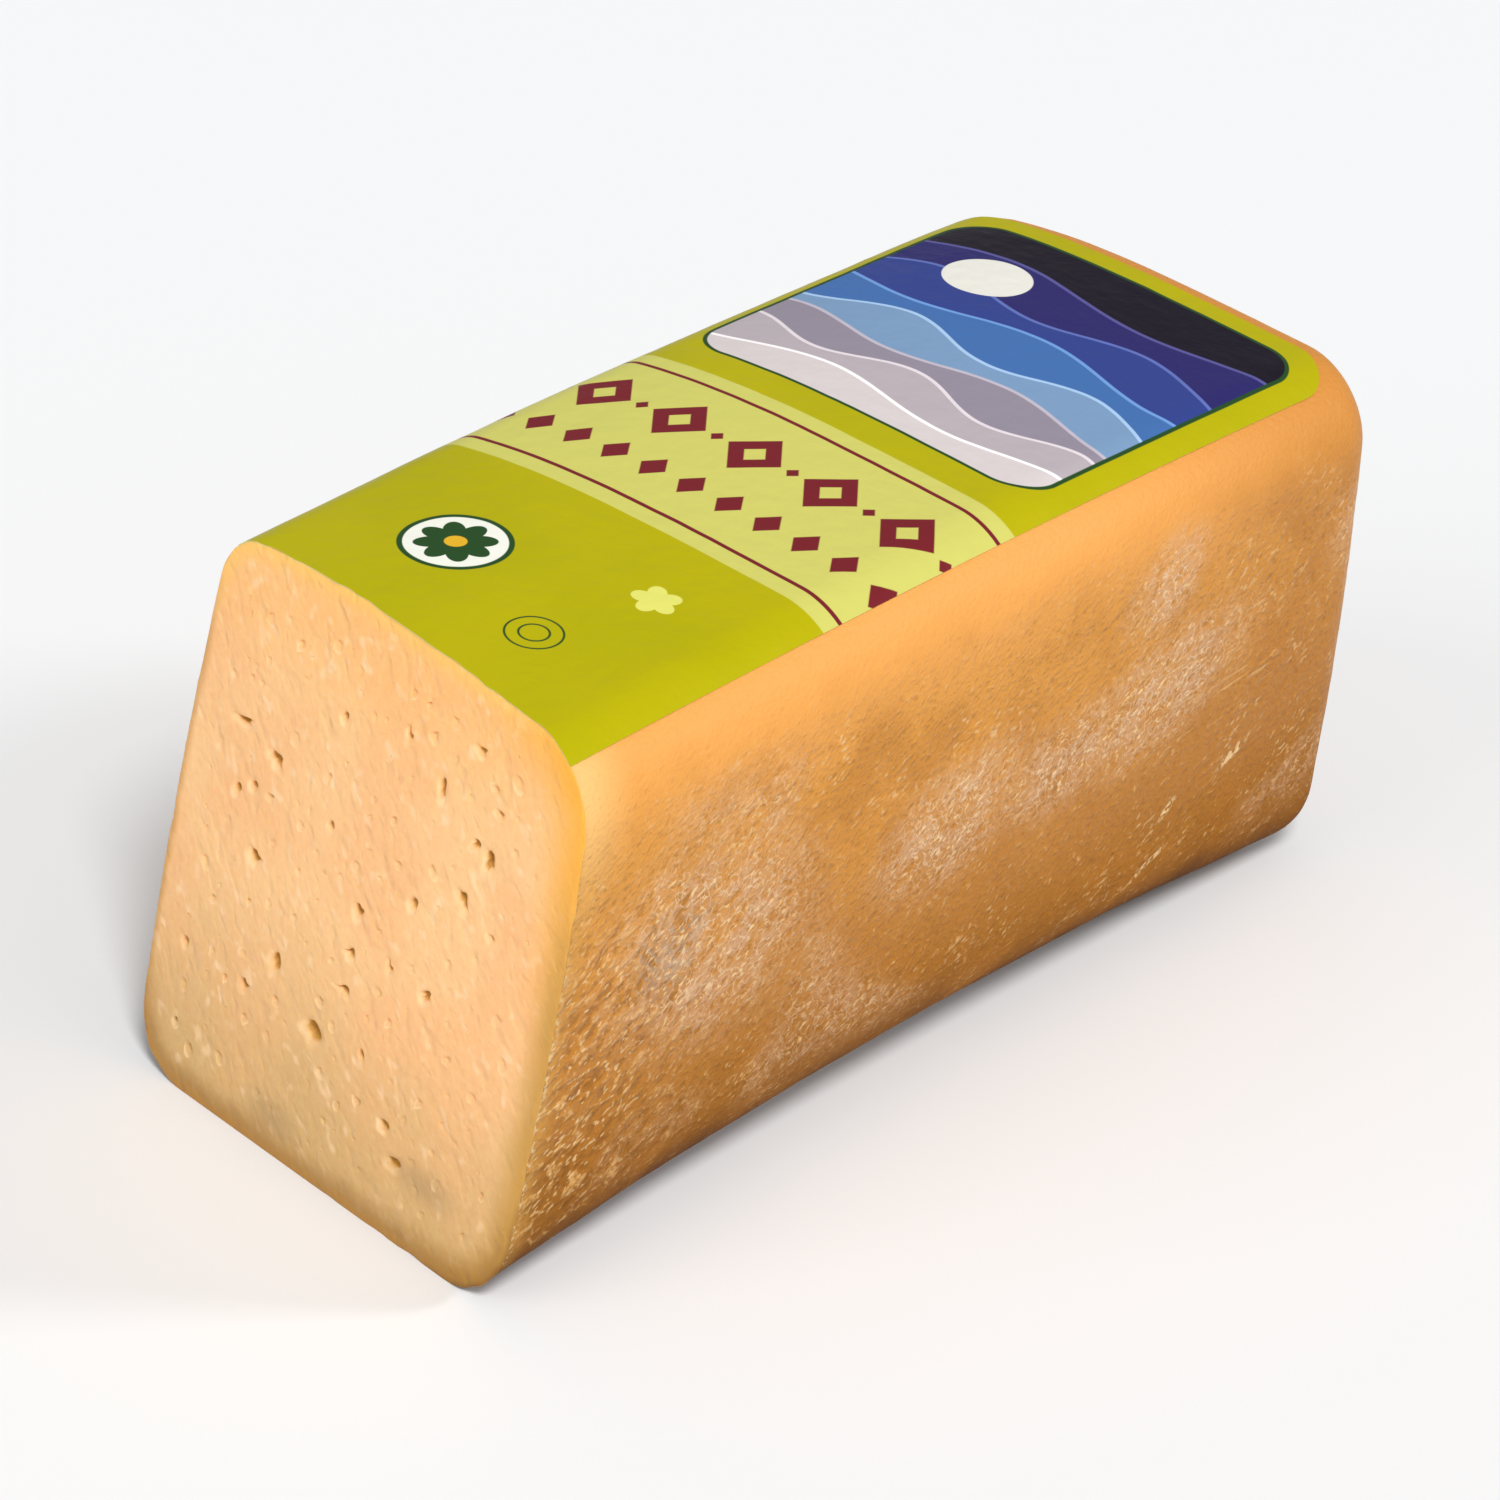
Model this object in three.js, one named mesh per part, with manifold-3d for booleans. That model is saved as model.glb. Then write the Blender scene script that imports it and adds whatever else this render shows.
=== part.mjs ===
import * as THREE from 'three';
import { mergeVertices } from 'three/addons/utils/BufferGeometryUtils.js';
import Module from 'manifold-3d';

// A block cut from a long, square loaf of semi-hard cheese, lying on its base with a paper label on top.
// Millimetres. X runs across the loaf, Y along it and Z up. The cut face looks towards -Y, a little
// askew, and the loaf's own rounded end towards +Y. The origin is in the middle under the block's box.

const degrees = THREE.MathUtils.degToRad;

// The loaf's section, before its sides swell.
const WIDTH = 105.5;
const HEIGHT = 110.5;
const UPPER_RIGHT_RADIUS = 16;
const UPPER_LEFT_RADIUS = 8.5;
const LOWER_LEFT_RADIUS = 14;
const LOWER_RIGHT_RADIUS = 14;
const LOWER_RIGHT_EXTRA = 13; // how much rounder the lower right edge is at mid-length
const TOP_CROWN = 3; // how far the middle of the top stands above its edges
const TOP_SKEW = -2; // the crown is fuller on the left
const RIGHT_SWELL = 2.2;
const LEFT_SWELL = 2;
const BASE_SPREAD = 0.022; // share of the width by which the base is wider than the top
const LEAN = 0.015; // sideways lean per millimetre of height

// Along the loaf.
const LENGTH = 249; // from the middle of the cut to the edge of the loaf's end
const ARCH = 3.4; // how far the top rises at mid-length
const BOW = 1.4; // how far the loaf bends sideways at mid-length
const END_EDGE_RADIUS = 10;
const END_RIGHT_RADIUS = 14;
const END_LEFT_RADIUS = 20;
const END_DOME = 3;

// The cut, which a long knife left slightly askew and slightly full in the middle.
const CUT_YAW = degrees(-9.2);
const CUT_PITCH = degrees(7.5);
const CUT_SWELL = 2.5;

// The label.
const LABEL_WIDTH = 96;
const LABEL_SHIFT = -1.7; // it sits a little left of the middle
const LABEL_BACK = 238; // its back edge, measured as LENGTH is
const LABEL_CORNER_RADIUS = 11.5;
const LABEL_THICKNESS = 0.4;
const LABEL_GAP = 0.3;

// Eyes that open on the cut face: x, z, width, height and tilt in degrees.
const LARGE_EYES = [
  [31.6, 81.4, 2.7, 5, 14],
  [27.6, 83.4, 2.4, 2.7, 0],
  [27, 71.6, 2.7, 4.4, 14],
  [-27.9, 74.9, 3.8, 3.4, 0],
  [-37.1, 64.6, 2.3, 3.2, 0],
  [-32.6, 67.4, 2.4, 2.6, 0],
  [-29.2, 54.6, 3.4, 3.6, 0],
  [1.6, 58, 2.6, 3.8, 14],
  [1, 49.4, 2.5, 2.9, 0],
  [0.7, 41.9, 3.2, 2.4, 0],
  [-5.7, 29.4, 4.2, 4.6, 0],
  [-18.6, 37.6, 2.5, 4.6, -12],
  [20.6, 15, 3.6, 3, 10],
  [16.8, 21.2, 2.6, 2.8, 0],
  [24.2, 100.3, 2.8, 2, 0],
  [-38.9, 78, 5, 1.6, 10],
  [22.4, 50.4, 3, 2.6, 20],
  [17, 89.2, 2, 4.6, 16],
];
const SMALL_EYE_COUNT = 12;
const SMALL_EYE_WIDTH = [1.8, 2.4];
const EYE_MARGIN = 14; // bare band between the scattered eyes and the rind
const EYE_DEPTH = 0.42; // share of an eye's mean width
const EYE_SEED = 7;

// How finely the solids are divided.
const CORNER_STEPS = 8;
const SIDE_STEPS = 7;
const LENGTH_STEPS = 18;
const END_STEPS = 6;
const FACE_RINGS = 4;
const LABEL_COLUMNS = 26;
const LABEL_ROWS = 16;
const LABEL_CORNER_ROWS = 6;
const EYE_STEPS = 9;

const HALF = WIDTH / 2;
const END_RUN = Math.max(END_RIGHT_RADIUS, END_LEFT_RADIUS);
const STRAIGHT = LENGTH - END_RUN; // where the end starts to round

function seededRandom(seed) {
  let state = seed;
  return () => {
    state = (state * 16807) % 2147483647;
    return state / 2147483647;
  };
}

// 0 at both ends of the loaf and 1 halfway, for a share of its length.
function midLength(share) {
  const t = THREE.MathUtils.clamp(share, 0, 1);
  return 4 * t * (1 - t);
}

// Moves a point of the plain rounded square to where the swollen loaf has it, as [x, z]. The loaf
// arches and bows by as much as it is near its middle.
function sectionPoint(x, z, mid) {
  const across = x / HALF;
  const up = z / HEIGHT;
  const swell = across > 0 ? RIGHT_SWELL : LEFT_SWELL;
  const side = 4 * up * (1 - up) * swell * across;
  const crown = up * (1 - across ** 2) * (TOP_CROWN + TOP_SKEW * across);
  const spread = 1 + BASE_SPREAD * (0.5 - up);
  return [
    (x + side) * spread + LEAN * (z - HEIGHT / 2) + BOW * mid,
    (z + crown) * (1 + (ARCH / HEIGHT) * mid),
  ];
}

// Where the cut lies, for a point of the section.
function cutY(x, z) {
  const across = (2 * x) / WIDTH;
  const up = (2 * z) / HEIGHT - 1;
  const full = CUT_SWELL * Math.max(0, 1 - across ** 2) * Math.max(0, 1 - up ** 2);
  return Math.tan(CUT_YAW) * x + Math.tan(CUT_PITCH) * (z - HEIGHT / 2) - full;
}

// Where the loaf starts, on the cut, at a point of the plain rounded square.
function startY(x, z) {
  return cutY(...sectionPoint(x, z, 0));
}

// A point of the loaf, from one of the plain rounded square.
function loafPoint(x, y, z) {
  const start = startY(x, z);
  const [loafX, loafZ] = sectionPoint(x, z, midLength((y - start) / (LENGTH - start)));
  return new THREE.Vector3(loafX, y, loafZ);
}

// The plain rounded square, anticlockwise seen from the cut face, as [x, z] points.
function plainOutline(share) {
  const lowerRight = LOWER_RIGHT_RADIUS + LOWER_RIGHT_EXTRA * midLength(share);
  const corners = [
    [HALF - lowerRight, lowerRight, lowerRight, -90],
    [HALF - UPPER_RIGHT_RADIUS, HEIGHT - UPPER_RIGHT_RADIUS, UPPER_RIGHT_RADIUS, 0],
    [UPPER_LEFT_RADIUS - HALF, HEIGHT - UPPER_LEFT_RADIUS, UPPER_LEFT_RADIUS, 90],
    [LOWER_LEFT_RADIUS - HALF, LOWER_LEFT_RADIUS, LOWER_LEFT_RADIUS, 180],
  ];
  const arcs = corners.map(([centreX, centreZ, radius, start]) => {
    const points = [];
    for (let i = 0; i <= CORNER_STEPS; i++) {
      const angle = degrees(start + (90 * i) / CORNER_STEPS);
      points.push([centreX + radius * Math.cos(angle), centreZ + radius * Math.sin(angle)]);
    }
    return points;
  });
  return arcs.flatMap((arc, k) => {
    const [fromX, fromZ] = arc.at(-1);
    const [toX, toZ] = arcs[(k + 1) % arcs.length][0];
    const side = [];
    for (let i = 1; i < SIDE_STEPS; i++) {
      const t = i / SIDE_STEPS;
      side.push([fromX + (toX - fromX) * t, fromZ + (toZ - fromZ) * t]);
    }
    return [...arc, ...side];
  });
}

// How far a rounded edge of this radius has drawn in at y.
function drawnIn(radius, y) {
  const run = THREE.MathUtils.clamp((y - (LENGTH - radius)) / radius, 0, 1);
  return radius * (1 - Math.sqrt(1 - run ** 2));
}

// A ring this share of the way from the cut to where the end starts to round.
function sideRing(share) {
  return plainOutline((share * STRAIGHT) / LENGTH).map(([x, z]) => {
    const start = startY(x, z);
    return loafPoint(x, start + (STRAIGHT - start) * share, z);
  });
}

// A ring of the rounded end at y. It draws in by different amounts across and up.
function endRing(y) {
  const right = 1 - drawnIn(END_RIGHT_RADIUS, y) / HALF;
  const left = 1 - drawnIn(END_LEFT_RADIUS, y) / HALF;
  const up = 1 - drawnIn(END_EDGE_RADIUS, y) / (HEIGHT / 2);
  return plainOutline(y / LENGTH).map(([x, z]) => {
    const point = loafPoint(x, y, z);
    point.x *= point.x > 0 ? right : left;
    point.z = HEIGHT / 2 + (point.z - HEIGHT / 2) * up;
    return point;
  });
}

// The rings of the cut face's own surface, from its rim inwards.
function cutRings() {
  const rim = sideRing(0);
  const rings = [];
  for (let k = 0; k < FACE_RINGS; k++) {
    const share = 1 - k / FACE_RINGS;
    rings.push(rim.map((p) => {
      const x = p.x * share;
      const z = HEIGHT / 2 + (p.z - HEIGHT / 2) * share;
      return new THREE.Vector3(x, cutY(x, z), z);
    }));
  }
  return rings;
}

// The rings of the domed end, from its rim inwards.
function domeRings() {
  const rim = endRing(LENGTH);
  const rings = [];
  for (let k = 1; k < FACE_RINGS; k++) {
    const share = 1 - k / FACE_RINGS;
    rings.push(rim.map((p) => new THREE.Vector3(
      p.x * share,
      LENGTH + END_DOME * (1 - share ** 2),
      HEIGHT / 2 + (p.z - HEIGHT / 2) * share,
    )));
  }
  return rings;
}

// A closed skin over rings of equal count, with a fan to a middle point at either end.
function skinOverRings(first, rings, last) {
  const count = rings[0].length;
  const points = [first, ...rings.flat(), last];
  const at = (ring, i) => 1 + ring * count + (i % count);
  const triangles = [];
  for (let i = 0; i < count; i++) {
    triangles.push(0, at(0, i), at(0, i + 1));
    triangles.push(points.length - 1, at(rings.length - 1, i + 1), at(rings.length - 1, i));
  }
  for (let ring = 0; ring < rings.length - 1; ring++) {
    for (let i = 0; i < count; i++) {
      triangles.push(at(ring, i), at(ring + 1, i), at(ring + 1, i + 1));
      triangles.push(at(ring, i), at(ring + 1, i + 1), at(ring, i + 1));
    }
  }
  return indexedGeometry(points, triangles);
}

function indexedGeometry(points, triangles) {
  const geometry = new THREE.BufferGeometry();
  geometry.setAttribute('position', new THREE.Float32BufferAttribute(points.flatMap((p) => p.toArray()), 3));
  geometry.setIndex(triangles);
  return geometry;
}

function loafGeometry() {
  const sides = [];
  for (let k = 1; k <= LENGTH_STEPS; k++) {
    sides.push(sideRing(k / LENGTH_STEPS));
  }
  for (let k = 1; k <= END_STEPS; k++) {
    sides.push(endRing(STRAIGHT + END_RUN * Math.sin((Math.PI / 2) * (k / END_STEPS))));
  }
  const middle = new THREE.Vector3(0, cutY(0, HEIGHT / 2), HEIGHT / 2);
  const tip = new THREE.Vector3(0, LENGTH + END_DOME, HEIGHT / 2);
  return skinOverRings(middle, [...cutRings().reverse(), ...sides, ...domeRings()], tip);
}

function eyeGeometry(x, z, width, height, tilt) {
  const depth = (EYE_DEPTH * (width + height)) / 2;
  const eye = new THREE.SphereGeometry(0.5, EYE_STEPS, EYE_STEPS - 2);
  eye.rotateX(Math.PI / 2);
  eye.scale(width, 2 * depth, height);
  eye.rotateY(degrees(tilt));
  eye.translate(x, cutY(x, z), z);
  return eye;
}

function scatteredEyes() {
  const random = seededRandom(EYE_SEED);
  const between = ([low, high]) => low + (high - low) * random();
  const spanX = [EYE_MARGIN - HALF, HALF - EYE_MARGIN];
  const spanZ = [EYE_MARGIN, HEIGHT - EYE_MARGIN];
  const eyes = [];
  while (eyes.length < SMALL_EYE_COUNT) {
    const x = between(spanX);
    const z = between(spanZ);
    const width = between(SMALL_EYE_WIDTH);
    const clear = [...LARGE_EYES, ...eyes].every(([ex, ez, ew, eh]) =>
      Math.hypot(ex - x, ez - z) > width + Math.max(ew, eh));
    if (clear) {
      eyes.push([x, z, width, width * (0.6 + 0.6 * random()), 90 * random()]);
    }
  }
  return eyes;
}

const wasm = await Module();
wasm.setup();

function toSolid(geometry) {
  const plain = geometry.clone();
  plain.deleteAttribute('normal');
  plain.deleteAttribute('uv');
  const merged = mergeVertices(plain, 1e-5);
  return new wasm.Manifold(new wasm.Mesh({
    numProp: 3,
    vertProperties: new Float32Array(merged.attributes.position.array),
    triVerts: new Uint32Array(merged.index.array),
  }));
}

function toGeometry(solid) {
  const mesh = solid.getMesh();
  const geometry = new THREE.BufferGeometry();
  geometry.setAttribute('position', new THREE.BufferAttribute(new Float32Array(mesh.vertProperties), 3));
  geometry.setIndex(new THREE.BufferAttribute(new Uint32Array(mesh.triVerts), 1));
  geometry.computeVertexNormals();
  return geometry;
}

// The loaf with its eyes scooped out of the cut face.
function cheeseGeometry() {
  let solid = toSolid(loafGeometry());
  for (const eye of [...LARGE_EYES, ...scatteredEyes()]) {
    solid = solid.subtract(toSolid(eyeGeometry(...eye)));
  }
  return toGeometry(solid);
}

// Height of the plain rounded square's upper side at x.
function plainTop(x) {
  const radius = x > 0 ? UPPER_RIGHT_RADIUS : UPPER_LEFT_RADIUS;
  const past = Math.max(0, Math.abs(x) - (HALF - radius));
  return HEIGHT - radius + Math.sqrt(radius ** 2 - past ** 2);
}

// A point this far above the loaf's top, along the surface's normal.
function aboveTop(x, y, distance) {
  const step = 0.01;
  const here = loafPoint(x, y, plainTop(x));
  const across = loafPoint(x + step, y, plainTop(x + step)).sub(here);
  const along = loafPoint(x, y + step, plainTop(x)).sub(here);
  return across.cross(along).normalize().multiplyScalar(distance).add(here);
}

// Rows as shares of the way from the cut to the back edge, closer together round the back corners.
function labelRowShares() {
  const shares = [];
  const cornerShare = LABEL_CORNER_RADIUS / LABEL_BACK;
  for (let k = 0; k <= LABEL_ROWS; k++) {
    shares.push(((1 - cornerShare) * k) / LABEL_ROWS);
  }
  for (let k = 1; k <= LABEL_CORNER_ROWS; k++) {
    shares.push(1 - cornerShare * (1 - Math.sin((Math.PI / 2) * (k / LABEL_CORNER_ROWS))));
  }
  return shares;
}

// Half the label's width at y, less where its back corners are rounded.
function labelHalfWidth(y) {
  const past = Math.max(0, y - (LABEL_BACK - LABEL_CORNER_RADIUS));
  const radius = LABEL_CORNER_RADIUS;
  return LABEL_WIDTH / 2 - radius + Math.sqrt(Math.max(0, radius ** 2 - past ** 2));
}

function labelSheet(distance) {
  return labelRowShares().map((share) => {
    const half = labelHalfWidth(share * LABEL_BACK);
    const row = [];
    for (let i = 0; i <= LABEL_COLUMNS; i++) {
      const x = LABEL_SHIFT + half * ((2 * i) / LABEL_COLUMNS - 1);
      const front = startY(x, plainTop(x)); // the label was cut through with the cheese
      row.push(aboveTop(x, front + (LABEL_BACK - front) * share, distance));
    }
    return row;
  });
}

// A thin plate between two sheets: the lower, the upper and a wall round their edge.
function labelGeometry() {
  const lower = labelSheet(LABEL_GAP);
  const upper = labelSheet(LABEL_GAP + LABEL_THICKNESS);
  const rows = lower.length;
  const columns = lower[0].length;
  const lowerAt = (row, column) => row * columns + column;
  const upperAt = (row, column) => rows * columns + lowerAt(row, column);
  const triangles = [];
  const quad = (a, b, c, d) => triangles.push(a, b, c, a, c, d);
  for (let r = 0; r < rows - 1; r++) {
    for (let c = 0; c < columns - 1; c++) {
      quad(upperAt(r, c), upperAt(r, c + 1), upperAt(r + 1, c + 1), upperAt(r + 1, c));
      quad(lowerAt(r, c), lowerAt(r + 1, c), lowerAt(r + 1, c + 1), lowerAt(r, c + 1));
    }
    quad(lowerAt(r + 1, 0), lowerAt(r, 0), upperAt(r, 0), upperAt(r + 1, 0));
    const last = columns - 1;
    quad(lowerAt(r, last), lowerAt(r + 1, last), upperAt(r + 1, last), upperAt(r, last));
  }
  for (let c = 0; c < columns - 1; c++) {
    quad(lowerAt(0, c), lowerAt(0, c + 1), upperAt(0, c + 1), upperAt(0, c));
    const back = rows - 1;
    quad(lowerAt(back, c + 1), lowerAt(back, c), upperAt(back, c), upperAt(back, c + 1));
  }
  const geometry = indexedGeometry([...lower.flat(), ...upper.flat()], triangles);
  geometry.computeVertexNormals();
  return geometry;
}

const cheese = new THREE.Mesh(
  cheeseGeometry(),
  new THREE.MeshStandardMaterial({ color: 0xe3a763, roughness: 0.5, metalness: 0 }),
);
cheese.name = 'cheese';

const label = new THREE.Mesh(
  labelGeometry(),
  new THREE.MeshStandardMaterial({ color: 0xb8b416, roughness: 0.45, metalness: 0 }),
);
label.name = 'label';

const block = new THREE.Group();
block.add(cheese, label);

// The origin goes to the middle of the block's box, at its base.
const box = new THREE.Box3().setFromObject(block);
const middle = box.getCenter(new THREE.Vector3());
for (const mesh of [cheese, label]) {
  mesh.position.set(-middle.x, -middle.y, -box.min.z);
}

export default block;
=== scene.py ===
"""The looks of a block cut from a long, square loaf of semi-hard cheese, with a paper label along its top."""

import math
from functools import reduce
from itertools import product

import bpy
import numpy as np
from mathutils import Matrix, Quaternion, Vector


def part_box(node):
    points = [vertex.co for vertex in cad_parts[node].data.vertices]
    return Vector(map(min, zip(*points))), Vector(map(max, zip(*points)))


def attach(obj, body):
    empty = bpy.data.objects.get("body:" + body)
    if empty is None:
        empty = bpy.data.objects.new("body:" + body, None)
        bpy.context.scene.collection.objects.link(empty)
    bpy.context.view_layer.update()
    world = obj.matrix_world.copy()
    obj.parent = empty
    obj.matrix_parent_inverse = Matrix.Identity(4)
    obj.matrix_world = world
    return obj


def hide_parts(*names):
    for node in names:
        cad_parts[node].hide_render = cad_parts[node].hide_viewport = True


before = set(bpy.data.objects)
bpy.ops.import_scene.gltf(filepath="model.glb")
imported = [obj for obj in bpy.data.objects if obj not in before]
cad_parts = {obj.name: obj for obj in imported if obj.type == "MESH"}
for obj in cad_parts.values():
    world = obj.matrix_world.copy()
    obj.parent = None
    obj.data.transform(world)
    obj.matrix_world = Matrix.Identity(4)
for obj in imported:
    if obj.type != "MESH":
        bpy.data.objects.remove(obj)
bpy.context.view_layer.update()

# Lengths are in millimetres until a mesh is made. X runs across the loaf, Y along it, Z up.
# A pair of values tells where something begins and where it is full, unless its comment says otherwise.
MM = 0.001

# The loaf's section, before its sides swell.
WIDTH = 105.5
HEIGHT = 110.5
HALF = WIDTH / 2
MIDDLE_HEIGHT = HEIGHT / 2
UPPER_RIGHT_RADIUS = 16
UPPER_LEFT_RADIUS = 8.5
LOWER_LEFT_RADIUS = 14
LOWER_RIGHT_RADIUS = 14
LOWER_RIGHT_EXTRA = 13  # how much larger that radius is halfway along the loaf
TOP_CROWN = 3
TOP_SKEW = -2
RIGHT_SWELL = 2.2
LEFT_SWELL = 2
BASE_SPREAD = 0.022
LEAN = 0.015

# Along the loaf.
LENGTH = 249
ARCH = 3.4
BOW = 1.4
END_EDGE_RADIUS = 10
END_RIGHT_RADIUS = 14
END_LEFT_RADIUS = 20
END_DOME = 3
END_RUN = max(END_RIGHT_RADIUS, END_LEFT_RADIUS)
STRAIGHT = LENGTH - END_RUN

# The cut.
CUT_YAW = math.radians(-9.2)
CUT_PITCH = math.radians(7.5)
CUT_SWELL = 2.5

# The label.
LABEL_WIDTH = 96
LABEL_SHIFT = -1.7
LABEL_BACK = 238
LABEL_CORNER_RADIUS = 11.5
PAPER_LIFT = 0.05
PAPER_THICKNESS = 0.22
PUCKER_DEPTH, PUCKER_SIZE = 0.10, 11
PUCKER_STRETCH = (1.3, 0.7, 1)
CRINKLE_DEPTH, CRINKLE_SIZE = 0.05, 5
RAGGED_DEPTH, RAGGED_SIZE = 0.35, 3.1  # of its edge at the cut

# How finely the skin is divided.
SIDE_STEPS = 96  # quads from the middle of one long edge to the next
NEAR_SHARE = 0.18  # the part of the length, next to the cut, that has closer rows
NEAR_ROWS = 38
FAR_ROWS = 108
END_ROWS = 14
RIM_ROWS = [0.7, 1.6]  # extra rings this far behind the cut
LABEL_COLUMNS = 80
LABEL_ROWS = 176
LABEL_CORNER_ROWS = 12
SHARP_ANGLE = math.radians(48)

# The skin's unevenness: how deep and how wide its dips are, and where they are.
UNEVEN_DEPTH, UNEVEN_SIZE = 0.5, 36
SLANT = 0.6  # how steeply wrinkles rise towards the far end
SLANT_STRETCH = 0.45
RIPPLE_DEPTH, RIPPLE_SIZE = 0.18, 8
CREASE_DEPTH, CREASE_SIZE, CREASE_OFFSET = 0.14, 4, 50
CRUMPLE = 1.2  # how much deeper the creases are near the cut
CRUMPLE_BEHIND, CRUMPLE_FOOT = (90, 10), (4, 20)
CALM_TOP = 0.75  # how much smoother the top is
CALM_TOP_HEIGHTS = (HEIGHT - 32, HEIGHT - 12)
PEBBLE_DEPTH, PEBBLE_SIZE, PEBBLE_OFFSET = 0.42, 3, 90  # bumps on the lower right, close behind the cut
PEBBLE_BEHIND, PEBBLE_FOOT, PEBBLE_TOP, PEBBLE_ACROSS = (60, 10), (8, 24), (86, 62), (0, 30)
BASE_FLAT = (0.2, 2.5)  # the skin is smooth at its foot, where the block rests
RIM_CHAMFER = 0.3
RIM_CRUMBLE, RIM_CRUMBLE_SIZE = 0.45, 2.6
RIM_CRUMBLE_NOISE, RIM_CRUMBLE_ACROSS = (0.1, 0.9), (-10, 30)

# Dents in the right-hand side: y, z, radius and depth.
SIDE_DENTS = [
    (107, 76, 3.2, 0.6),
    (118, 103, 2.4, 0.4),
    (180, 21, 3.4, 0.6),
    (230, 85, 2.6, 0.5),
    (7, 70, 2.2, 0.7),
    (3, 43, 2.4, 0.8),
    (64, 31, 3, 0.5),
    (150, 58, 4, 0.5),
]
SIDE_DENT_STRETCH = 1.4  # how much longer than high they are

# The cut's unevenness: faint ridges that the knife left, drawn out and tilted, and wider dips.
RIDGE_DEPTH, RIDGE_SIZE = 0.10, 9
RIDGE_STRETCH, RIDGE_TILT = 0.25, 0.12
CUT_DEPTH, CUT_SIZE = 0.16, 21

# Eyes on the cut face: x, z, width, height and tilt in degrees.
LARGE_EYES = [
    (31.6, 81.4, 2.7, 5, 14),
    (27.6, 83.4, 2.4, 2.7, 0),
    (27, 71.6, 2.7, 4.4, 14),
    (-27.9, 74.9, 3.8, 3.4, 0),
    (-37.1, 64.6, 2.3, 3.2, 0),
    (-32.6, 67.4, 2.4, 2.6, 0),
    (-29.2, 54.6, 3.4, 3.6, 0),
    (1.6, 58, 2.6, 3.8, 14),
    (1, 49.4, 2.5, 2.9, 0),
    (0.7, 41.9, 3.2, 2.4, 0),
    (-5.7, 29.4, 4.2, 4.6, 0),
    (-18.6, 37.6, 2.5, 4.6, -12),
    (20.6, 15, 3.6, 3, 10),
    (16.8, 21.2, 2.6, 2.8, 0),
    (24.2, 100.3, 2.8, 2, 0),
    (-38.9, 78, 5, 1.6, 10),
    (22.4, 50.4, 3, 2.6, 20),
    (17, 89.2, 2, 4.6, 16),
    (6.2, 95, 1.6, 3.8, 14),
    (12.4, 51.6, 1.5, 3.4, 14),
    (8.5, 31.6, 1.5, 3.4, 16),
    (-9.8, 70, 1.9, 3, 0),
    (-11.5, 90.8, 1.8, 2.8, 0),
    (15, 65.7, 2.2, 3.2, 0),
    (31.9, 91.4, 2.2, 1.6, 0),
    (-45, 29, 2, 2.4, 0),
    (-26.5, 29.5, 3, 3, 0),
]
EYE_SPREAD = (1.75, 1.5)  # how much wider and higher an eye's soft rim is than its dark middle
EYE_DEPTH = 0.55  # share of an eye's mean width
EYE_DIRECTIONS = 20
EYE_RINGS = (0.18, 0.30, 0.38, 0.46, 0.54, 0.66, 0.82, 1)  # shares of the way from the middle to the rim
EYE_CLEARANCE = 3  # what lies this far from the rind and close behind the cut belongs to the cut
DEEPEST = 5  # depths in the eyes are told up to this one
NEAR_CUT = 40  # distances from the rind are told as far as this along the loaf

# The small pits, with their least and greatest measures.
PIT_SEED = 5
PIT_TRIES = 500
PIT_WIDTH = (1.3, 3.8)
PIT_STRETCH = (0.7, 1.5)
PIT_DEPTH = (0.10, 0.24)
PIT_TILT = (20, 35)  # mean and spread, in degrees
PIT_DIRECTIONS = 10
PIT_RINGS = (0.24, 0.46, 0.74, 1)
PIT_MARGIN = 6
PIT_SPACING = 0.6  # share of two neighbours' sizes added up

# The shape of eyes and pits.
DENT_LEAN = (0.32, 0.42)  # how far towards the upper right the middle lies, in half sizes
DENT_RIM = 0.03  # a dent's rim stands this far clear of the cut face
DENT_ROOF = 0.6
DENT_LUMPS, DENT_LUMP_SIZE = 0.5, 0.65
DENT_OFFSET = 7.3  # from one dent's unevenness to the next one's
DENT_CORE = (0.22, 0.54)  # where its steep part begins and ends, as shares of the way to the rim
DENT_SAUCER = 0.30  # share of the depth that the gentle outer part has
DENT_SOFTNESS = 1.8  # how gently the outer part meets the cut face
# Where the painted highlight on a dent's lower left lip begins and is full, from the middle outwards and from
# the rim inwards.
LIP_HIGHLIGHT_INNER = (DENT_CORE[1] - 0.1, DENT_CORE[1] + 0.1)
LIP_HIGHLIGHT_OUTER = (1, 0.7)


# ---- shape of the loaf


def mid_length(share):
    """0 at both ends of the loaf and 1 halfway along it."""
    share = np.clip(share, 0, 1)
    return 4 * share * (1 - share)


def section_point(x, z, mid):
    """Where the swollen loaf has a point of the plain rounded square."""
    across = x / HALF
    up = z / HEIGHT
    swell = np.where(across > 0, RIGHT_SWELL, LEFT_SWELL)
    side = 4 * up * (1 - up) * swell * across
    crown = up * (1 - across**2) * (TOP_CROWN + TOP_SKEW * across)
    spread = 1 + BASE_SPREAD * (0.5 - up)
    return (
        (x + side) * spread + LEAN * (z - MIDDLE_HEIGHT) + BOW * mid,
        (z + crown) * (1 + ARCH / HEIGHT * mid),
    )


def cut_y(x, z):
    across = 2 * x / WIDTH
    up = 2 * z / HEIGHT - 1
    full = CUT_SWELL * np.maximum(0, 1 - across**2) * np.maximum(0, 1 - up**2)
    return math.tan(CUT_YAW) * x + math.tan(CUT_PITCH) * (z - MIDDLE_HEIGHT) - full


def start_y(x, z):
    return cut_y(*section_point(x, z, 0))


def loaf_point(x, y, z):
    start = start_y(x, z)
    loaf_x, loaf_z = section_point(x, z, mid_length((y - start) / (LENGTH - start)))
    return np.stack([loaf_x, y + 0 * loaf_x, loaf_z], axis=-1)


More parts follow.
